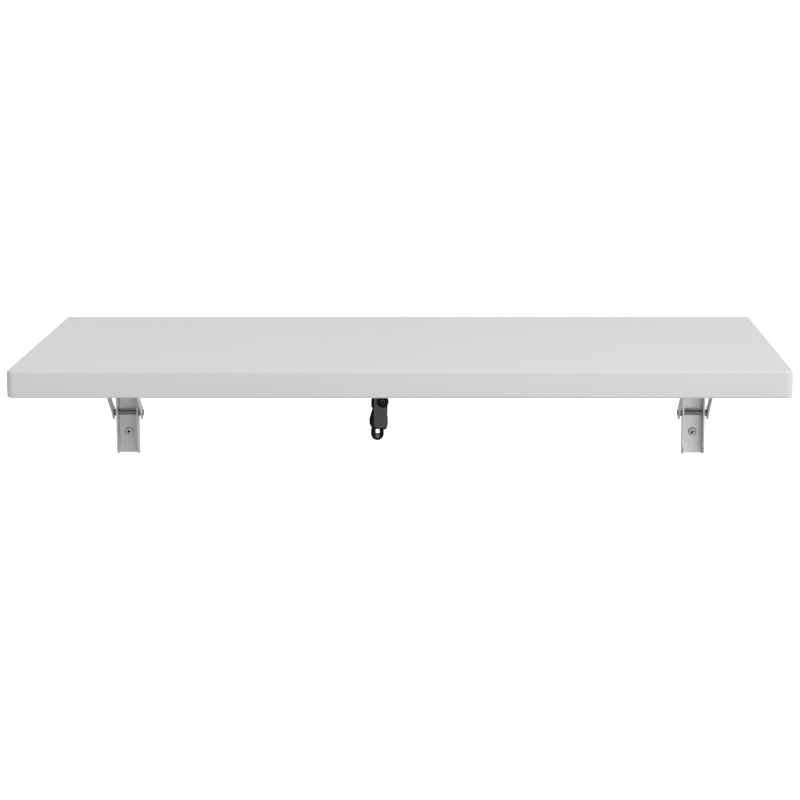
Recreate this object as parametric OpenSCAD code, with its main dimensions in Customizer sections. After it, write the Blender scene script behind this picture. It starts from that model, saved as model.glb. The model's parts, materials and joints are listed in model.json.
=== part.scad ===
// Wall-mounted fold-down desk: one white board on two folding steel brackets,
// with a black plastic turn-catch on the wall that holds the board when it hangs down.
// Origin: centre of the four outer wall screws, on the wall plane.
// +X is to the right, -Y points out of the wall, +Z is up. Millimetres.

/* [Board] */
// Width of the board along the wall
top_w = 800; // [760:10:1200]
// Depth of the board from its back edge to its front edge
top_d = 400; // [330:5:500]
// Thickness of the board
top_t = 28; // [24:1:32]
// Radius of the board's two front corners, seen from above
corner_r = 8; // [4:1:20]
// Radius of the board's two back corners, seen from above
back_corner_r = 3; // [3:0.5:8]
// Radius of the board's long edges
edge_r = 2; // [1:0.5:2.5]
// Sideways place of the board's middle, from the middle between the brackets
board_x = -3; // [-10:1:10]
// Gap between the board's back edge and the wall
wall_gap = 2; // [1:0.5:4]

/* [Brackets] */
// Distance of each bracket from the middle between the two
bracket_x = 333; // [150:1:350]
// Width of the channel that is screwed to the wall
wall_arm_w = 26; // [24:0.5:26]
// How far the wall channel stands off the wall
wall_arm_d = 19; // [18:0.5:19]
// Thickness of the channels' sheet steel
sheet_t = 1.8; // [1.5:0.1:2]
// Outside radius of the channels' folded corners
bend_r = 2.8; // [2.4:0.1:3]
// Length of the channel under the board
board_arm_len = 300; // [300:1:310]
// Length of the struts between their two pivots
strut_len = 135; // [134:0.5:136]
// Width of the strut bars between their eyes
strut_w = 11.5; // [10:0.5:12.5]

/* [Catch] */
// Sideways place of the catch's base, left of the middle
catch_x = -38.5; // [-60:0.5:0]
// Width of the catch's base
catch_base_w = 13; // [12:0.5:14]
// Thickness of the catch's base
catch_base_t = 3; // [2.5:0.5:3]

/* [Hidden] */

$fn = 48;
eps = 0.01;
left = -1;
right = 1;

// Heights
screw_span_z = 80;
mid_screw_z = 13;
underside_z = 69;
top_z = underside_z + top_t;
arm_top_z = underside_z - 6;
arm_bottom_z = -65.6;

// Pivots: distance from the wall and height
hinge_f = 12;
hinge_drop = 18;
hinge_z = underside_z - hinge_drop;
foot_f = 10;
foot_z = -16;
slide_drop = 10;

// Strut angles above the horizontal, with the board up and with it hanging,
// and the strut's turn for each degree of the board's
strut_up = asin((underside_z - slide_drop - foot_z) / strut_len);
strut_down = -acos((hinge_f + hinge_drop - slide_drop - foot_f) / strut_len);
strut_ratio = (strut_up - strut_down) / 90;

// Pins, bores and the stack of widths, each measured from the bracket's middle
run_gap = 0.05;
face_gap = 0.1;
hinge_pin_r = 3;
strut_pin_r = 2.75;
slide_pin_r = 3;
release_pin_r = 2;
slot_r = slide_pin_r + 0.25;
bar_t = 2;
foot_eye_r = 8;
head_eye_r = 7;
head_t = 1.1;
wall_arm_x = wall_arm_w / 2;
bar_x = 15.8;
board_arm_x = 18.2;
board_arm_out = board_arm_x + sheet_t;
board_arm_w = 2 * board_arm_out;

// Release lever: pivot, and its shape in distance from the hinge and depth under the board
release_u = 222;
release_drop = 8;
lever_x = 6;

// Screws
wall_shank_r = 2.5;
wall_neck_r = 2.6;
wall_shank_len = 45;
wall_head_r = 4.85;
board_shank_r = 2;
board_shank_len = 18;
board_head_r = 4.2;
board_screw_us = [25, 75, 245, 278];
catch_shank_r = 1.75;

// Catch
catch_ring_x = catch_x + 6.9;
catch_ring_z = -2.3;
catch_body_x = catch_ring_x - 2.85;
catch_bottom_z = -50.7;
catch_hole_top_z = -37.3;
catch_screw_z = -45.6;
catch_pivot_r = 2.5;
catch_lever_f = 8;
catch_body_f = 13.5;
catch_boss_f = 17;
catch_seat_f = 15;
catch_boss_r = 7.1;
keeper_x = catch_x - 19.5;
keeper_w = 12;
keeper_u = 34.5;
keeper_lip_drop = 23;
keeper_t = 2.5;
keeper_screw_us = [17, 28];

// A point at distance f from the wall and height z, in the Y-Z plane
function fz(f, z) = [-f, z];

// A point at distance u from the hinge along the board and at a depth under it
function under(u, drop) = fz(hinge_f + u, underside_z - drop);

// Arc of points about centre c
function arc(c, r, from, to, n = 10) =
    [for (i = [0:n]) c + r * [cos(from + (to - from) * i / n), sin(from + (to - from) * i / n)]];

// Capsule outline about the line from a to b
function capsule(a, b, r) = let(dir = atan2(b[1] - a[1], b[0] - a[0]))
    concat(arc(b, r, dir - 90, dir + 90, 14), arc(a, r, dir + 90, dir + 270, 14));

// Where the slide pin lies in the board's own frame, with the board folded by angle t:
// distance from the hinge, and depth under the board
function slide_at(t) = let(
    turn = strut_up - strut_ratio * t,
    f = foot_f + strut_len * cos(turn) - hinge_f,
    z = foot_z + strut_len * sin(turn) - hinge_z)
    [f * cos(t) - z * sin(t), hinge_drop - f * sin(t) - z * cos(t)];

// The same path moved sideways by a distance, to the deep side when it is positive
function slide_offset(t, by) = let(
    ahead = slide_at(t + 0.5) - slide_at(t - 0.5),
    out = [-ahead[1], ahead[0]] / norm(ahead))
    slide_at(t) + by * out;

function heading(t) = let(ahead = slide_at(t + 0.5) - slide_at(t - 0.5)) atan2(ahead[1], ahead[0]);

// Closed outline of the curved slot: one side, the far end, the other side, the near end
function slot_outline(r, steps = 24) = concat(
    [for (i = [0:steps]) slide_offset(90 * i / steps, r)],
    arc(slide_at(90), r, heading(90) + 80, heading(90) - 80, 8),
    [for (i = [steps:-1:0]) slide_offset(90 * i / steps, -r)],
    arc(slide_at(0), r, heading(0) - 100, heading(0) - 260, 8));

// Side view outline drawn in (Y, Z), made solid from x0 to x1
module side_solid(points, x0, x1)
    translate([x0, 0, 0])
        rotate([90, 0, 90])
            linear_extrude(x1 - x0)
                polygon(points);

// Cross-section of a folded sheet channel, open towards -Y of its own plane, with its web on Y = 0
function channel_section(half, depth) = concat(
    [[half, -depth], [half, -bend_r]],
    arc([half - bend_r, -bend_r], bend_r, 0, 90, 6),
    arc([bend_r - half, -bend_r], bend_r, 90, 180, 6),
    [[-half, -depth], [sheet_t - half, -depth]],
    arc([bend_r - half, -bend_r], bend_r - sheet_t, 180, 90, 6),
    arc([half - bend_r, -bend_r], bend_r - sheet_t, 90, 0, 6),
    [[half - sheet_t, -depth]]);

// Cylinder along X through a point of the Y-Z plane
module cross_rod(at, r, x0, x1)
    translate([x0, at[0], at[1]])
        rotate([0, 90, 0])
            cylinder(r = r, h = x1 - x0);

// The same rod on both sides of a bracket's middle
module rod_pair(at, r, x0, x1) {
    cross_rod(at, r, x0, x1);
    cross_rod(at, r, -x1, -x0);
}

// Riveted pin across a bracket, with a domed head on each end
module rivet(at, r, head_r, reach) {
    cross_rod(at, r, -reach - eps, reach + eps);
    for (side = [-1, 1])
        translate([side * reach, at[0], at[1]])
            rotate([0, side * 90, 0])
                rotate_extrude()
                    polygon(concat([[0, 0], [head_r, 0]], [[head_r, head_t * 0.45]],
                        [[head_r * 0.72, head_t * 0.85], [head_r * 0.35, head_t], [0, head_t]]));
}

// Cross-recessed pan-head screw: head above Z = 0, pointed shank below, with a plain neck
module pan_screw(shank_r, len, head_r, head_h, neck_r, neck_len, recess) {
    slot = head_r * 0.32;
    difference() {
        rotate_extrude()
            polygon([[0, -len], [shank_r, -len + 2 * shank_r], [shank_r, -neck_len],
                [neck_r, -neck_len], [neck_r, 0], [head_r, 0], [head_r, head_h * 0.4],
                [head_r * 0.87, head_h * 0.72], [head_r * 0.6, head_h * 0.93], [0, head_h]]);
        for (turn = [20, 110])
            rotate([0, 0, turn])
                translate([-head_r * 0.46, -slot / 2, head_h - recess])
                    cube([head_r * 0.92, slot, head_h + recess]);
    }
}

// Places its children at a bracket's middle, the right one being the left one's mirror image
module at_bracket(side)
    translate([side * bracket_x, 0, 0])
        mirror([side > 0 ? 1 : 0, 0, 0])
            children();

module wall_arm(side) {
    outline = concat(
        [fz(0, arm_bottom_z), fz(0, arm_top_z)],
        arc(fz(wall_arm_d - 7, arm_top_z - 7), 7, 90, 180, 8),
        arc(fz(wall_arm_d - 12, arm_bottom_z + 12), 12, 180, 270, 8));
    color("silver")
        at_bracket(side)
            difference() {
                intersection() {
                    side_solid(outline, -wall_arm_w, wall_arm_w);
                    translate([0, 0, arm_bottom_z - 1])
                        linear_extrude(arm_top_z - arm_bottom_z + 2)
                            polygon(channel_section(wall_arm_x, wall_arm_d + 1));
                }
                cross_rod(fz(hinge_f, hinge_z), hinge_pin_r + run_gap, -20, 20);
                cross_rod(fz(foot_f, foot_z), strut_pin_r + run_gap, -20, 20);
                for (z = [-screw_span_z / 2, mid_screw_z, screw_span_z / 2])
                    translate([0, 1, z])
                        rotate([90, 0, 0])
                            cylinder(r = wall_neck_r + run_gap, h = sheet_t + 2);
            }
}

module board_arm(side) {
    arm_end = board_arm_len - 8;
    lug = arc([0, hinge_drop], 8, 180, 60, 8);
    belly = [for (t = [0:6:90]) slide_offset(t, 6)];
    edge = concat([[-8, 0]], lug, [[24, 14], [84, 14]], belly,
        [[release_u, 14.5], [arm_end - 10, 12]], arc([arm_end - 6, 6], 6, 90, 0, 6), [[arm_end, 0]]);
    color("silver")
        at_bracket(side)
            difference() {
                intersection() {
                    side_solid([for (p = edge) under(p[0], p[1])], -board_arm_w, board_arm_w);
                    translate([0, 1, underside_z])
                        rotate([90, 0, 0])
                            linear_extrude(board_arm_len + hinge_f)
                                polygon(channel_section(board_arm_out, 40));
                }
                side_solid([for (p = slot_outline(slot_r)) under(p[0], p[1])], -25, 25);
                cross_rod(under(0, hinge_drop), hinge_pin_r + run_gap, -25, 25);
                cross_rod(under(release_u, release_drop), release_pin_r + run_gap, -25, 25);
                for (u = board_screw_us)
                    translate([0, -hinge_f - u, underside_z - sheet_t - 1])
                        cylinder(r = board_shank_r + run_gap, h = sheet_t + 2);
            }
}

module strut_bar(side, x0) {
    foot = fz(foot_f, foot_z);
    head = under(slide_at(0)[0], slide_at(0)[1]);
    color("silver")
        at_bracket(side)
            difference() {
                union() {
                    side_solid(capsule(foot, head, strut_w / 2), x0, x0 + bar_t);
                    cross_rod(foot, foot_eye_r, x0, x0 + bar_t);
                    cross_rod(head, head_eye_r, x0, x0 + bar_t);
                }
                cross_rod(foot, strut_pin_r + run_gap, x0 - 1, x0 + bar_t + 1);
                cross_rod(head, slide_pin_r + run_gap, x0 - 1, x0 + bar_t + 1);
            }
}

module hinge_pin(side)
    color("gainsboro")
        at_bracket(side)
            rivet(fz(hinge_f, hinge_z), hinge_pin_r, 5, board_arm_out + face_gap);

module hinge_spacers(side)
    color("gainsboro")
        at_bracket(side)
            difference() {
                rod_pair(fz(hinge_f, hinge_z), 5, wall_arm_x + face_gap, board_arm_x - face_gap);
                cross_rod(fz(hinge_f, hinge_z), hinge_pin_r + run_gap, -20, 20);
            }

module strut_pin(side)
    color("gainsboro")
        at_bracket(side)
            rivet(fz(foot_f, foot_z), strut_pin_r, 3.9, bar_x + bar_t + face_gap);

module strut_spacers(side)
    color("gainsboro")
        at_bracket(side)
            difference() {
                rod_pair(fz(foot_f, foot_z), 4, wall_arm_x + face_gap, bar_x - face_gap);
                cross_rod(fz(foot_f, foot_z), strut_pin_r + run_gap, -20, 20);
            }

module slide_pin(side)
    color("gainsboro")
        at_bracket(side)
            rivet(under(slide_at(0)[0], slide_at(0)[1]), slide_pin_r, 4.8, board_arm_out + face_gap);

// Lever that hooks in front of the slide pin. Drawn squeezed, with its nose lifted off the pin.
module release_lever(side) {
    nose_u = slide_at(0)[0] + slide_pin_r + 0.6;
    tab_u = release_u + 5;
    hook = [[nose_u, 2.6], [release_u, 2.6], [release_u, 5.2], [nose_u + 5, 5.2],
        [nose_u + 3, 6.8], [nose_u, 6.8]];
    tab = [[release_u - 4, 6], [release_u + 4, 6], [tab_u + 5, 26], [tab_u + 3, 26]];
    color("silver")
        at_bracket(side)
            difference() {
                union() {
                    side_solid([for (p = hook) under(p[0], p[1])], -lever_x, lever_x);
                    cross_rod(under(release_u, release_drop), 5, -lever_x - 1, lever_x + 1);
                    side_solid([for (p = tab) under(p[0], p[1])], -lever_x - 4, lever_x + 4);
                }
                cross_rod(under(release_u, release_drop), release_pin_r + run_gap, -25, 25);
            }
}

module release_pin(side)
    color("gainsboro")
        at_bracket(side)
            rivet(under(release_u, release_drop), release_pin_r, 3.4, board_arm_out + face_gap);

// Torsion spring on the release lever's pin, with both legs away from the hinge
module release_spring(side) {
    coil_r = 3.4;
    wire_r = 0.45;
    turns = 4.5;
    steps = 72;
    sides = 8;
    pitch = 1.05;
    x0 = 11;
    at = under(release_u, release_drop);
    coil = [for (i = [0:steps]) let(a = 90 - 360 * turns * i / steps)
        [x0 + pitch * turns * i / steps, at[0] + coil_r * cos(a), at[1] + coil_r * sin(a)]];
    leg = 16;
    path = concat([[x0, at[0] - leg, at[1] + coil_r]], coil,
        [[x0 + pitch * turns, at[0] - leg, at[1] - coil_r]]);
    last = len(path) - 1;
    rings = [for (i = [0:last])
        let(step = path[min(i + 1, last)] - path[max(i - 1, 0)],
            out = [0, -step[2], step[1]] / norm([step[1], step[2]]))
        for (k = [0:sides - 1])
            path[i] + wire_r * (cos(360 * k / sides) * out + sin(360 * k / sides) * [1, 0, 0])];
    faces = concat([[for (k = [0:sides - 1]) k]],
        [for (i = [0:last - 1]) for (k = [0:sides - 1])
            [i * sides + k, (i + 1) * sides + k, (i + 1) * sides + (k + 1) % sides,
                i * sides + (k + 1) % sides]],
        [[for (k = [sides - 1:-1:0]) last * sides + k]]);
    color("dimgray")
        at_bracket(side)
            polyhedron(rings, faces);
}

module wall_screws(side)
    color("silver")
        for (z = [-screw_span_z / 2, mid_screw_z, screw_span_z / 2])
            translate([side * bracket_x, -sheet_t, z])
                rotate([90, 0, 0])
                    pan_screw(wall_shank_r, wall_shank_len, wall_head_r, 3.3, wall_neck_r, sheet_t, 4.6);

module board_screws(side)
    color("silver")
        for (u = board_screw_us)
            translate([side * bracket_x, -hinge_f - u, underside_z - sheet_t])
                rotate([180, 0, 0])
                    pan_screw(board_shank_r - 0.1, board_shank_len + sheet_t, board_head_r, 2.6,
                        board_shank_r, sheet_t, 2.2);

// One upright corner of the board, with the top and bottom edges rounded
module corner_puck(r)
    rotate_extrude($fn = 32)
        polygon(concat([[0, 0]], arc([r - edge_r, edge_r], edge_r, -90, 0, 5),
            arc([r - edge_r, top_t - edge_r], edge_r, 0, 90, 5), [[0, top_t]]));

module tabletop() {
    color("white")
        difference() {
            translate([board_x, -wall_gap, underside_z])
                hull()
                    for (x = [-1, 1]) {
                        translate([x * (top_w / 2 - back_corner_r), -back_corner_r, 0])
                            corner_puck(back_corner_r);
                        translate([x * (top_w / 2 - corner_r), corner_r - top_d, 0])
                            corner_puck(corner_r);
                    }
            for (side = [-1, 1], u = board_screw_us)
                translate([side * bracket_x, -hinge_f - u, underside_z - 1])
                    cylinder(r = board_shank_r + run_gap, h = board_shank_len + 2);
            for (u = keeper_screw_us)
                translate([keeper_x, -hinge_f - u, underside_z - 1])
                    cylinder(r = catch_shank_r + run_gap, h = board_shank_len + 2);
        }
}

// Upright plate on the wall, drawn in (X, Z), from distance f0 to f1
module wall_plate(f0, f1)
    translate([0, -f0, 0])
        rotate([90, 0, 0])
            linear_extrude(f1 - f0)
                children();

// Plate on the wall: a wide head behind the pivot, raised ears beside the lever, a round tab below
module catch_base() {
    half = catch_base_w / 2;
    ears = [[catch_x + half, catch_hole_top_z], [catch_x + half + 3.6, catch_hole_top_z],
        [catch_x + half + 4.9, -36],
        [catch_x + half + 6, -31], [catch_x + half + 6, -23], [catch_x + half + 4.9, -20.5],
        [catch_x + half + 4.9, -9], [catch_x - half + 0.7, -9], [catch_x - half + 0.7, -12.5],
        [catch_x - half - 1.2, -18.5], [catch_x - half - 2.9, -24.5], [catch_x - half - 2.7, -30.5],
        [catch_x - half - 1.2, -33.2], [catch_x - half + 0.3, -35.8]];
    head_z = catch_ring_z + 2.9;
    head_x0 = catch_x - half - 0.7;
    head_x1 = catch_ring_x + 4;
    waist_x = catch_x - half + 2;
    tab_r = half + 1.15;
    pocket_r = tab_r - 2.3;
    tab = [catch_x, catch_bottom_z + tab_r];
    outline = concat(
        arc(tab, tab_r, 180, 360, 14),
        [[catch_x + tab_r, -38], [catch_x + half, -35], [catch_x + half, -12], [head_x1, -12]],
        arc([head_x1 - 3, head_z - 3], 3, 0, 90, 5),
        arc([head_x0 + 3.5, head_z - 3.5], 3.5, 90, 180, 6),
        [[head_x0, -10.5], [waist_x, -13], [waist_x, -33], [catch_x - half, -35],
            [catch_x - tab_r, -38]]);
    color("#1c1c1e")
        difference() {
            union() {
                wall_plate(0, catch_base_t)
                    polygon(outline);
                wall_plate(0, catch_base_t + 3)
                    polygon(ears);
                translate([catch_ring_x, 0, catch_ring_z])
                    rotate([90, 0, 0]) {
                        cylinder(r = 6, h = catch_base_t);
                        cylinder(r = 5, h = catch_lever_f - face_gap);
                    }
            }
            translate([catch_ring_x, 1, catch_ring_z])
                rotate([90, 0, 0])
                    cylinder(r = catch_pivot_r + run_gap, h = 30);
            translate([catch_x, 1, catch_screw_z])
                rotate([90, 0, 0])
                    cylinder(r = catch_shank_r + run_gap, h = 10);
            wall_plate(catch_base_t - 1, catch_base_t + 1)
                polygon(concat(arc(tab, pocket_r, 180, 360, 12),
                    [[catch_x + pocket_r, catch_hole_top_z], [catch_x - pocket_r, catch_hole_top_z]]));
            translate([catch_x - 1.9, -5, catch_hole_top_z - 5.2])
                cube([4.3, 10, 5.2]);
        }
}

module catch_lever() {
    half = 7.55;
    tip = -35;
    x = catch_body_x;
    outline = concat(
        arc([catch_ring_x, catch_ring_z], catch_boss_r - 1, 0, 90, 6),
        arc([x - half + 2, catch_ring_z + 1.5], 2, 90, 180, 4),
        arc([x - half + 4, tip + 4], 4, 180, 270, 6),
        arc([x + half - 2, tip + 2], 2, 270, 360, 6));
    tip_r = catch_body_f - catch_lever_f;
    profile = concat(
        [fz(catch_lever_f, 10)],
        arc(fz(catch_lever_f, tip + tip_r), tip_r, 270, 180, 8),
        [fz(catch_body_f, 10)]);
    color("#242427")
        difference() {
            intersection() {
                wall_plate(catch_lever_f, catch_body_f)
                    polygon(outline);
                side_solid(profile, x - 20, x + 20);
            }
            translate([catch_ring_x, 0, catch_ring_z])
                rotate([90, 0, 0])
                    cylinder(r = catch_pivot_r + run_gap, h = 30);
        }
}

// Round cap in front of the lever, with a seat for the pivot screw's head
module catch_cap()
    color("#1c1c1e")
        translate([catch_ring_x, 0, catch_ring_z])
            rotate([90, 0, 0])
                difference() {
                    translate([0, 0, catch_body_f + face_gap])
                        cylinder(r = catch_boss_r, h = catch_boss_f - catch_body_f - face_gap);
                    cylinder(r = catch_pivot_r + run_gap, h = 30);
                    translate([0, 0, catch_seat_f])
                        cylinder(r = 4.4, h = 10);
                }

module catch_pivot_screw()
    color("silver")
        translate([catch_ring_x, -catch_seat_f, catch_ring_z])
            rotate([90, 0, 0])
                pan_screw(catch_pivot_r - 0.1, 38, 3.8, 2.4, catch_pivot_r, catch_seat_f, 2);

module catch_base_screw()
    color("silver")
        translate([catch_x, 1 - catch_base_t, catch_screw_z])
            rotate([90, 0, 0])
                pan_screw(catch_shank_r - 0.1, 14, 2.6, 1.6, catch_shank_r, catch_base_t - 1, 1.3);

// Hook under the board: the turned lever goes between its lip and the board
module catch_keeper() {
    x0 = keeper_x - keeper_w / 2;
    hook = [[12, 0], [keeper_u + keeper_t, 0], [keeper_u + keeper_t, keeper_lip_drop],
        [keeper_u + 16, keeper_lip_drop], [keeper_u + 17, keeper_lip_drop + 1.5],
        [keeper_u + 15, keeper_lip_drop + 3.5], [keeper_u, keeper_lip_drop + 3.5],
        [keeper_u, keeper_t], [12, keeper_t]];
    color("#1c1c1e")
        difference() {
            side_solid([for (p = hook) under(p[0], p[1])], x0, x0 + keeper_w);
            for (u = keeper_screw_us)
                translate([keeper_x, -hinge_f - u, underside_z - keeper_t - 1])
                    cylinder(r = catch_shank_r + run_gap, h = keeper_t + 2);
        }
}

module keeper_screws()
    color("silver")
        for (u = keeper_screw_us)
            translate([keeper_x, -hinge_f - u, underside_z - keeper_t])
                rotate([180, 0, 0])
                    pan_screw(catch_shank_r - 0.1, board_shank_len, 3.2, 2.2, catch_shank_r, keeper_t, 1.8);

tabletop();
wall_arm(left);  // left_wall_arm
board_arm(left);  // left_board_arm
strut_bar(left, -bar_x - bar_t);  // left_strut_outer_bar
strut_bar(left, bar_x);  // left_strut_inner_bar
hinge_pin(left);  // left_hinge_pin
hinge_spacers(left);  // left_hinge_spacers
strut_pin(left);  // left_strut_pin
strut_spacers(left);  // left_strut_spacers
slide_pin(left);  // left_slide_pin
release_lever(left);  // left_release_lever
release_pin(left);  // left_release_pin
release_spring(left);  // left_release_spring
wall_screws(left);  // left_wall_screws
board_screws(left);  // left_board_screws
wall_arm(right);  // right_wall_arm
board_arm(right);  // right_board_arm
strut_bar(right, -bar_x - bar_t);  // right_strut_outer_bar
strut_bar(right, bar_x);  // right_strut_inner_bar
hinge_pin(right);  // right_hinge_pin
hinge_spacers(right);  // right_hinge_spacers
strut_pin(right);  // right_strut_pin
strut_spacers(right);  // right_strut_spacers
slide_pin(right);  // right_slide_pin
release_lever(right);  // right_release_lever
release_pin(right);  // right_release_pin
release_spring(right);  // right_release_spring
wall_screws(right);  // right_wall_screws
board_screws(right);  // right_board_screws
catch_base();
catch_lever();
catch_cap();
catch_pivot_screw();
catch_base_screw();
catch_keeper();
keeper_screws();
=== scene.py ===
"""Wall-mounted fold-down desk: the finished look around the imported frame."""
import json
import math

import bmesh
import bpy
from mathutils import Matrix, Vector


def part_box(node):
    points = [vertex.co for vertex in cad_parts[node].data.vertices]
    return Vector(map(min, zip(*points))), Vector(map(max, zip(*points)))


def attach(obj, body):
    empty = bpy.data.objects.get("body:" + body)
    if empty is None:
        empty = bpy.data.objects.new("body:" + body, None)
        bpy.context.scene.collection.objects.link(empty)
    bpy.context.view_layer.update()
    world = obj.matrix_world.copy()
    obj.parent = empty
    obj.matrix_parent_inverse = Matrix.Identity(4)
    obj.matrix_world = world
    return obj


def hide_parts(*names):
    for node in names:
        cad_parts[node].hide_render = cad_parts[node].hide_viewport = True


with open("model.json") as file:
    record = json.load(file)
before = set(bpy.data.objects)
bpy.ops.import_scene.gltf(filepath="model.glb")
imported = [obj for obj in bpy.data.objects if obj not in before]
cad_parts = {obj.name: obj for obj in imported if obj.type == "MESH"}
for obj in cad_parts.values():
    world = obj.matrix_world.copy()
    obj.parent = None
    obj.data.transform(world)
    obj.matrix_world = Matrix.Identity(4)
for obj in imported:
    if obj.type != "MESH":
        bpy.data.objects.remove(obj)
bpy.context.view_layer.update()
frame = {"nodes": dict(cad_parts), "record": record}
nodes = frame["nodes"]
body_of_node = {
    node: body
    for body, members in frame["record"]["behaviour"]["bodies"].items()
    for node in members
}
slot_of_node = {entry["node"]: entry["material_slot"] for entry in frame["record"]["subparts"]}
SIDES = ("left", "right")
MM = 0.001

# Rounding of the board, as in the CAD
BOARD_FRONT_R = 8 * MM
BOARD_BACK_R = 3 * MM
BOARD_EDGE_R = 2 * MM

# Cleaning of the CAD meshes: points this near are one, and faces this flat are one
JOIN_DISTANCE = 0.001 * MM
FLAT_DEG = 0.5
SHARP_DEG = 32

# Radius of the rounding on each part's sharp edges, in millimetres
BRACKET_EDGES = {
    "wall_arm": 0.25, "board_arm": 0.25, "strut_outer_bar": 0.35, "strut_inner_bar": 0.35,
    "hinge_pin": 0.3, "hinge_spacers": 0.3, "strut_pin": 0.3, "strut_spacers": 0.3,
    "slide_pin": 0.3, "release_lever": 0.3, "release_pin": 0.2, "board_screws": 0.15,
}
CATCH_EDGES = {
    "catch_base": 0.35, "catch_lever": 0.6, "catch_cap": 0.4, "catch_keeper": 0.4,
    "keeper_screws": 0.12,
}
WALL_SCREW_EDGE = 0.15 * MM
CATCH_SCREW_EDGE = 0.12 * MM

# Screw threads: crest radii, pitch, and the root's share of the crest's radius
WALL_SCREW_CREST = 2.5 * MM
CATCH_SCREW_CRESTS = {"catch_pivot_screw": 2.4 * MM, "catch_base_screw": 1.65 * MM}
THREAD_PITCH = 2.2 * MM
THREAD_ROOT = 0.74

# Brackets' webs: slightly dished between the folds, rolled lengthwise
BRACKET_X = 333 * MM
WEB_HALF = 11.2 * MM
DISH_DEPTH = 0.45 * MM
ROLLED = (1, 1, 0.03)

# Painted shade in a screw's recess: how far it reaches, and how much of the tone it leaves
RECESS_PAINTED_SHADE = (3 * MM, 0.06)

# Surroundings
FLOOR_DROP = 0.75
FLOOR_HALF = 30
SKY_LEVEL = 0.645
SKY_SLOPE = (0.28, 0.0, 0.265)
LIGHTS = {
    "key": {"place": (0.9, -1.3, 1.0), "target": (0.2, -0.3, 0), "size": (0.7, 0.7), "power": 4.5},
    "strip": {
        "place": (1.0, -3.0, -0.55), "target": (0.333, 0, -0.04), "size": (0.5, 0.8), "power": 4.5,
    },
    "fill": {"place": (0.1, -3.0, 0.32), "target": (0, 0, -0.02), "size": (1.4, 0.25), "power": 3},
}

# Camera: place, with the height above the board's top, then turns in degrees and lens in mm
CAMERA_X = 0.0632
CAMERA_Y = -2.8613
CAMERA_RISE = 0.4007
CAMERA_YAW = 1.498
CAMERA_PITCH = -9.92
CAMERA_ROLL = -0.228
CAMERA_LENS = 110.66
SENSOR_WIDTH = 36


# ---------------------------------------------------------------- materials

def new_material(name):
    """An empty node material with its Principled shader, and the shader's node tree."""
    material = bpy.data.materials.new(name)
    material.use_nodes = True
    tree = material.node_tree
    shader = tree.nodes["Principled BSDF"]
    return material, tree, shader


def object_coords(tree, scale=(1, 1, 1)):
    """Object coordinates in metres, stretched by scale."""
    coords = tree.nodes.new("ShaderNodeTexCoord")
    mapping = tree.nodes.new("ShaderNodeMapping")
    mapping.inputs["Scale"].default_value = scale
    tree.links.new(coords.outputs["Object"], mapping.inputs["Vector"])
    return mapping.outputs["Vector"]


def noise(tree, vector, scale, detail=3.0, roughness=0.5):
    """Noise between 0 and 1; scale is in features per metre."""
    node = tree.nodes.new("ShaderNodeTexNoise")
    node.inputs["Scale"].default_value = scale
    node.inputs["Detail"].default_value = detail
    node.inputs["Roughness"].default_value = roughness
    tree.links.new(vector, node.inputs["Vector"])
    return node.outputs["Fac"]


def ramp(tree, factor, low, high, start=0.3, end=0.7):
    """Colour that goes from low to high as factor goes from start to end."""
    node = tree.nodes.new("ShaderNodeValToRGB")
    node.color_ramp.elements[0].position = start
    node.color_ramp.elements[0].color = (*low, 1)
    node.color_ramp.elements[1].position = end
    node.color_ramp.elements[1].color = (*high, 1)
    tree.links.new(factor, node.inputs["Fac"])
    return node.outputs["Color"]


def remap(tree, factor, low, high, start=0.3, end=0.7):
    """Number that goes from low to high as factor goes from start to end."""
    node = tree.nodes.new("ShaderNodeMapRange")
    node.inputs["From Min"].default_value = start
    node.inputs["From Max"].default_value = end
    node.inputs["To Min"].default_value = low
    node.inputs["To Max"].default_value = high
    tree.links.new(factor, node.inputs["Value"])
    return node.outputs["Result"]


def bump(tree, height, depth, strength=1.0, under=None):
    """Normal from a height between 0 and 1 that stands for depth metres."""
    node = tree.nodes.new("ShaderNodeBump")
    node.inputs["Strength"].default_value = strength
    node.inputs["Distance"].default_value = depth
    tree.links.new(height, node.inputs["Height"])
    if under is not None:
        tree.links.new(under, node.inputs["Normal"])
    return node.outputs["Normal"]


def white_foil():
    """Matt white foil on board: a faint pebble, long soft ripples and slight tone changes."""
    material, tree, shader = new_material("white_foil")
    coords = object_coords(tree)
    tone = ramp(tree, noise(tree, coords, 5, 2), (0.745, 0.745, 0.742), (0.765, 0.765, 0.762))
    tree.links.new(tone, shader.inputs["Base Color"])
    rough = remap(tree, noise(tree, coords, 60, 4), 0.46, 0.56)
    tree.links.new(rough, shader.inputs["Roughness"])
    ripple = bump(tree, noise(tree, coords, 14, 2), 0.00004)
    pebble = bump(tree, noise(tree, coords, 1500, 3, 0.6), 0.00001, under=ripple)
    tree.links.new(pebble, shader.inputs["Normal"])
    shader.inputs["Specular IOR Level"].default_value = 0.35
    return material


def dish(tree, middle, half_width, depth):
    """Normal of a sheet that is hollowed by depth between two edges, both sides of X = 0."""
    coords = tree.nodes.new("ShaderNodeTexCoord")
    parts = tree.nodes.new("ShaderNodeSeparateXYZ")
    tree.links.new(coords.outputs["Object"], parts.inputs["Vector"])
    value = parts.outputs["X"]
    for operation, operand in (("ABSOLUTE", 0), ("SUBTRACT", middle), ("DIVIDE", half_width), ("POWER", 2)):
        step = tree.nodes.new("ShaderNodeMath")
        step.operation = operation
        step.inputs[1].default_value = operand
        tree.links.new(value, step.inputs[0])
        value = step.outputs["Value"]
    return bump(tree, value, depth)


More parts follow.
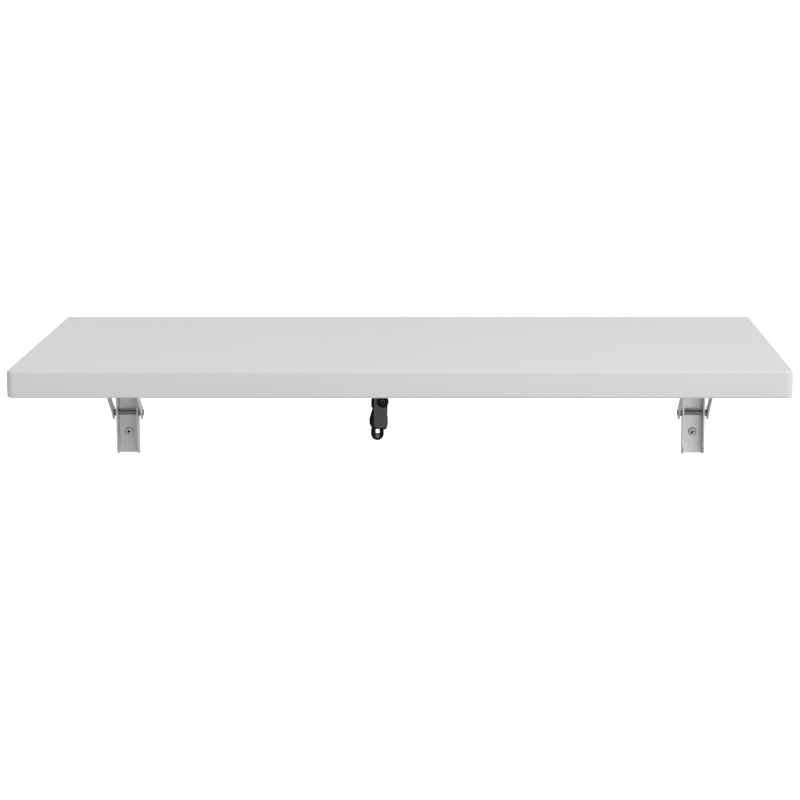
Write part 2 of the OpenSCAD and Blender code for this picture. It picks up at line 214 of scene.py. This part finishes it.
def with_painted_recess_shade(tree, tone, reach, darkest):
    """Painted shade: the tone, darkened towards darkest times itself where the piece's own narrow recesses
    hold shade.
    """
    shade = tree.nodes.new("ShaderNodeAmbientOcclusion")
    shade.only_local = True
    shade.inputs["Distance"].default_value = reach
    shaded_tone = tree.nodes.new("ShaderNodeVectorMath")
    shaded_tone.operation = "SCALE"
    tree.links.new(tone, shaded_tone.inputs[0])
    tree.links.new(remap(tree, shade.outputs["AO"], darkest, 1, 0.35, 0.85), shaded_tone.inputs["Scale"])
    return shaded_tone.outputs["Vector"]


def steel(name, low, high, rough, metallic=1.0, grain=(1, 1, 1), dished=None, painted_recess_shade=None):
    """Plated steel with rolling lines along one axis, soft spangle and handling marks; when given, painted
    shade darkens its recesses.
    """
    material, tree, shader = new_material(name)
    coords = object_coords(tree)
    rolled = object_coords(tree, grain)
    spangle = noise(tree, coords, 260, 4, 0.6)
    tone = ramp(tree, spangle, low, high)
    # Painted shade: the base colour is darkened in the piece's own recesses
    if painted_recess_shade:
        tone = with_painted_recess_shade(tree, tone, *painted_recess_shade)
    tree.links.new(tone, shader.inputs["Base Color"])
    streaks = noise(tree, rolled, 2600, 3)
    tree.links.new(remap(tree, streaks, rough - 0.06, rough + 0.07), shader.inputs["Roughness"])
    under = dish(tree, *dished) if dished else None
    dents = bump(tree, noise(tree, coords, 90, 2), 0.00004, under=under)
    lines = bump(tree, streaks, 0.000012, under=dents)
    tree.links.new(lines, shader.inputs["Normal"])
    shader.inputs["Metallic"].default_value = metallic
    return material


def black_plastic(name, low, high, rough, shine):
    """Moulded black plastic with a fine spark-eroded texture and faint sheen marks."""
    material, tree, shader = new_material(name)
    coords = object_coords(tree)
    tree.links.new(ramp(tree, noise(tree, coords, 120, 3), low, high), shader.inputs["Base Color"])
    tree.links.new(
        remap(tree, noise(tree, coords, 300, 3), rough - 0.05, rough + 0.08),
        shader.inputs["Roughness"],
    )
    grain = bump(tree, noise(tree, coords, 5000, 2, 0.7), 0.00002)
    tree.links.new(grain, shader.inputs["Normal"])
    shader.inputs["Specular IOR Level"].default_value = shine
    return material


def pale_floor():
    """Plain pale floor that stays brighter than the desk."""
    material, tree, shader = new_material("pale_floor")
    shader.inputs["Base Color"].default_value = (0.9, 0.9, 0.9, 1)
    shader.inputs["Roughness"].default_value = 0.9
    shader.inputs["Emission Color"].default_value = (1, 1, 1, 1)
    shader.inputs["Emission Strength"].default_value = 0.75
    return material


MATERIALS = {
    "board_white": white_foil(),
    "bracket_steel": steel(
        "bracket_steel", (0.64, 0.642, 0.644), (0.70, 0.702, 0.704), 0.37, 0.45, ROLLED,
        (BRACKET_X, WEB_HALF, DISH_DEPTH),
    ),
    "rivet_steel": steel("rivet_steel", (0.20, 0.202, 0.205), (0.28, 0.282, 0.285), 0.3, 0.6),
    # Screw heads get painted shade in their recesses, which darkens the cross
    "screw_steel": steel(
        "screw_steel", (0.72, 0.72, 0.73), (0.80, 0.80, 0.81), 0.3, 0.7, painted_recess_shade=RECESS_PAINTED_SHADE
    ),
    "dark_steel": steel("dark_steel", (0.035, 0.035, 0.037), (0.06, 0.06, 0.063), 0.25, 0.9),
    "spring_steel": steel("spring_steel", (0.16, 0.165, 0.17), (0.24, 0.245, 0.25), 0.28),
    "catch_plastic": black_plastic(
        "catch_plastic", (0.004, 0.004, 0.0042), (0.008, 0.008, 0.0083), 0.38, 0.15
    ),
    "catch_lever_plastic": black_plastic(
        "catch_lever_plastic", (0.085, 0.085, 0.086), (0.110, 0.110, 0.111), 0.46, 0.3
    ),
}


# ---------------------------------------------------------------- pieces

def add_piece(name, mesh, node):
    """Puts a finished mesh in the scene in place of its CAD node, on the same body."""
    piece = bpy.data.objects.new(name, mesh)
    bpy.context.scene.collection.objects.link(piece)
    piece.data.materials.clear()
    piece.data.materials.append(MATERIALS[slot_of_node[node]])
    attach(piece, body_of_node[node])
    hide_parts(node)
    return piece


def clean_bmesh(node):
    """The CAD node's surface as a clean bmesh: points joined, and flat areas made one face."""
    work = bmesh.new()
    work.from_mesh(nodes[node].data)
    bmesh.ops.remove_doubles(work, verts=work.verts, dist=JOIN_DISTANCE)
    bmesh.ops.dissolve_limit(
        work, angle_limit=math.radians(FLAT_DEG), verts=work.verts, edges=work.edges
    )
    return work


def sharp_edges(work):
    """Edges where the surface turns by more than the limit."""
    limit = math.radians(SHARP_DEG)
    return [e for e in work.edges if len(e.link_faces) == 2 and e.calc_face_angle(0) > limit]


def cut_at_wall(work):
    """Takes away what lies behind the wall plane and closes the cut."""
    geometry = list(work.verts) + list(work.edges) + list(work.faces)
    bmesh.ops.bisect_plane(
        work, geom=geometry, plane_co=(0, 0, 0), plane_no=(0, 1, 0), clear_outer=True
    )
    bmesh.ops.holes_fill(work, edges=[e for e in work.edges if e.is_boundary], sides=0)


def refined(node, radius, segments=3, front_only=False):
    """A copy of a CAD node, or of its part in front of the wall, with its sharp edges rounded."""
    work = clean_bmesh(node)
    if front_only:
        cut_at_wall(work)
    bmesh.ops.bevel(
        work, geom=sharp_edges(work), offset=radius, segments=segments,
        profile=0.5, affect="EDGES", clamp_overlap=True,
    )
    for face in work.faces:
        face.smooth = True
    mesh = bpy.data.meshes.new(node + "_finish")
    work.to_mesh(mesh)
    work.free()
    piece = add_piece(node + "_finish", mesh, node)
    shade = piece.modifiers.new("even_shading", "WEIGHTED_NORMAL")
    shade.keep_sharp = True


def thread_surface(work, x, z, length, crest_r, around=20, steps=8):
    """Pointed screw thread from the wall plane into the wall, as one closed surface."""
    root_r = crest_r * THREAD_ROOT
    count = int(length / THREAD_PITCH * steps)
    rings = []
    for i in range(count + 1):
        depth = length * i / count
        point = min(1, max(0.02, (length - depth) / (2 * crest_r)))
        ring = []
        for k in range(around):
            turn = 2 * math.pi * k / around
            phase = (depth / THREAD_PITCH - k / around) % 1
            ridge = max(0, 1 - abs(phase - 0.5) * 4)
            r = (root_r + (crest_r - root_r) * ridge) * point
            ring.append(work.verts.new((x + r * math.cos(turn), depth, z + r * math.sin(turn))))
        rings.append(ring)
    for a, b in zip(rings, rings[1:]):
        for k in range(around):
            j = (k + 1) % around
            work.faces.new((a[k], b[k], b[j], a[j]))
    work.faces.new(rings[0])
    work.faces.new(list(reversed(rings[-1])))


def add_threads(node, places, crest_r):
    """The threaded shanks of a screw node, behind the wall plane."""
    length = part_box(node)[1].y
    work = bmesh.new()
    for x, z in places:
        thread_surface(work, x, z, length, crest_r)
    mesh = bpy.data.meshes.new(node + "_thread")
    work.to_mesh(mesh)
    work.free()
    add_piece(node + "_thread", mesh, node)


def rounded_slab(low, high, front_r, back_r, edge_r, steps=8):
    """Slab between two corners, with upright corners of front_r and back_r, and edges of edge_r."""
    work = bmesh.new()
    centre = (low + high) / 2
    half = (high - low) / 2
    rings = []
    levels = []
    for i in range(steps + 1):
        turn = math.pi / 2 * i / steps
        levels.append((edge_r * (1 - math.sin(turn)), edge_r * (1 - math.cos(turn))))
    lower = [(low.z + rise, inset) for rise, inset in reversed(levels)]
    upper = [(high.z - rise, inset) for rise, inset in levels]
    corners = ((1, 1, back_r), (-1, 1, back_r), (-1, -1, front_r), (1, -1, front_r))
    for z, inset in lower + upper:
        ring = []
        for k, (sx, sy, corner_r) in enumerate(corners):
            for i in range(2 * steps + 1):
                turn = math.pi / 2 * (k + i / (2 * steps))
                r = corner_r - inset
                ring.append(work.verts.new((
                    centre.x + sx * (half.x - corner_r) + r * math.cos(turn),
                    centre.y + sy * (half.y - corner_r) + r * math.sin(turn),
                    z,
                )))
        rings.append(ring)
    count = len(rings[0])
    for a, b in zip(rings, rings[1:]):
        for i in range(count):
            j = (i + 1) % count
            work.faces.new((a[i], a[j], b[j], b[i]))
    work.faces.new(list(reversed(rings[0])))
    work.faces.new(rings[-1])
    for face in work.faces:
        face.smooth = len(face.verts) == 4
    mesh = bpy.data.meshes.new("tabletop_finish")
    work.to_mesh(mesh)
    work.free()
    return mesh


board = rounded_slab(*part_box("tabletop"), BOARD_FRONT_R, BOARD_BACK_R, BOARD_EDGE_R)
add_piece("tabletop_finish", board, "tabletop")

for side in SIDES:
    for part, radius in BRACKET_EDGES.items():
        refined(f"{side}_{part}", radius * MM)
for node, radius in CATCH_EDGES.items():
    refined(node, radius * MM)

# Screws that go into the wall: heads from the CAD, and modelled threads behind the wall plane
mounts = {mount["name"]: mount for mount in frame["record"]["mounts"]}
outer = mounts["wall_screws_outer"]
half_span = outer["dims"]["spacing_y_mm"] / 2 * MM
screw_heights = (half_span, -half_span, mounts["wall_screws_middle"]["pos_m"][2])
half_spread = outer["dims"]["spacing_x_mm"] / 2 * MM
for side, sign in zip(SIDES, (-1, 1)):
    node = f"{side}_wall_screws"
    refined(node, WALL_SCREW_EDGE, front_only=True)
    add_threads(node, [(sign * half_spread, z) for z in screw_heights], WALL_SCREW_CREST)
for node, crest_r in CATCH_SCREW_CRESTS.items():
    refined(node, CATCH_SCREW_EDGE, front_only=True)
    low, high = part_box(node)
    add_threads(node, [((low.x + high.x) / 2, (low.z + high.z) / 2)], crest_r)

for side in SIDES:
    spring = nodes[f"{side}_release_spring"].data
    spring.materials.clear()
    spring.materials.append(MATERIALS["spring_steel"])


# ---------------------------------------------------------------- surroundings

TOP_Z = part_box("tabletop")[1].z


def make_floor():
    """Plain floor at standing height below the desk."""
    work = bmesh.new()
    bmesh.ops.create_grid(work, x_segments=8, y_segments=8, size=FLOOR_HALF)
    mesh = bpy.data.meshes.new("floor")
    work.to_mesh(mesh)
    work.free()
    floor = bpy.data.objects.new("floor", mesh)
    floor.location.z = TOP_Z - FLOOR_DROP
    bpy.context.scene.collection.objects.link(floor)
    floor.data.materials.append(pale_floor())
    floor.visible_diffuse = False
    floor.visible_glossy = False
    floor.visible_shadow = False


def area_light(name, place, target, size, power):
    """Soft rectangular light at place, facing target."""
    lamp = bpy.data.lights.new(name, "AREA")
    lamp.shape = "RECTANGLE"
    lamp.size, lamp.size_y = size
    lamp.energy = power
    light = bpy.data.objects.new(name, lamp)
    light.location = place
    aim = Vector(target) - Vector(place)
    light.rotation_euler = aim.to_track_quat("-Z", "Y").to_euler()
    bpy.context.scene.collection.objects.link(light)


def make_world():
    """Studio surroundings: brighter above and to the right as light, plain white to the camera."""
    world = bpy.data.worlds.new("studio")
    bpy.context.scene.world = world
    world.use_nodes = True
    tree = world.node_tree
    lit = tree.nodes["Background"]
    seen = tree.nodes.new("ShaderNodeBackground")
    for background in (lit, seen):
        background.inputs["Color"].default_value = (1, 1, 1, 1)
        background.inputs["Strength"].default_value = 1.0
    coords = tree.nodes.new("ShaderNodeTexCoord")
    slope = tree.nodes.new("ShaderNodeVectorMath")
    slope.operation = "DOT_PRODUCT"
    slope.inputs[1].default_value = SKY_SLOPE
    level = tree.nodes.new("ShaderNodeMath")
    level.operation = "ADD"
    level.inputs[1].default_value = SKY_LEVEL
    path = tree.nodes.new("ShaderNodeLightPath")
    mix = tree.nodes.new("ShaderNodeMixShader")
    tree.links.new(coords.outputs["Generated"], slope.inputs[0])
    tree.links.new(slope.outputs["Value"], level.inputs[0])
    tree.links.new(level.outputs["Value"], lit.inputs["Strength"])
    tree.links.new(path.outputs["Is Camera Ray"], mix.inputs["Fac"])
    tree.links.new(lit.outputs["Background"], mix.inputs[1])
    tree.links.new(seen.outputs["Background"], mix.inputs[2])
    tree.links.new(mix.outputs["Shader"], tree.nodes["World Output"].inputs["Surface"])


def make_camera():
    """Looks down at the desk from the right of its middle, with no shift."""
    camera_data = bpy.data.cameras.new("camera")
    camera_data.sensor_width = SENSOR_WIDTH
    camera_data.lens = CAMERA_LENS
    camera = bpy.data.objects.new("camera", camera_data)
    turn = (
        Matrix.Rotation(math.radians(CAMERA_YAW), 4, "Z")
        @ Matrix.Rotation(math.pi / 2 + math.radians(CAMERA_PITCH), 4, "X")
        @ Matrix.Rotation(math.radians(CAMERA_ROLL), 4, "Z")
    )
    place = Matrix.Translation((CAMERA_X, CAMERA_Y, TOP_Z + CAMERA_RISE))
    camera.matrix_world = place @ turn
    bpy.context.scene.collection.objects.link(camera)
    bpy.context.scene.camera = camera


make_floor()
make_world()
for name, light in LIGHTS.items():
    area_light(name, **light)
make_camera()

bpy.context.scene.view_settings.view_transform = "Standard"
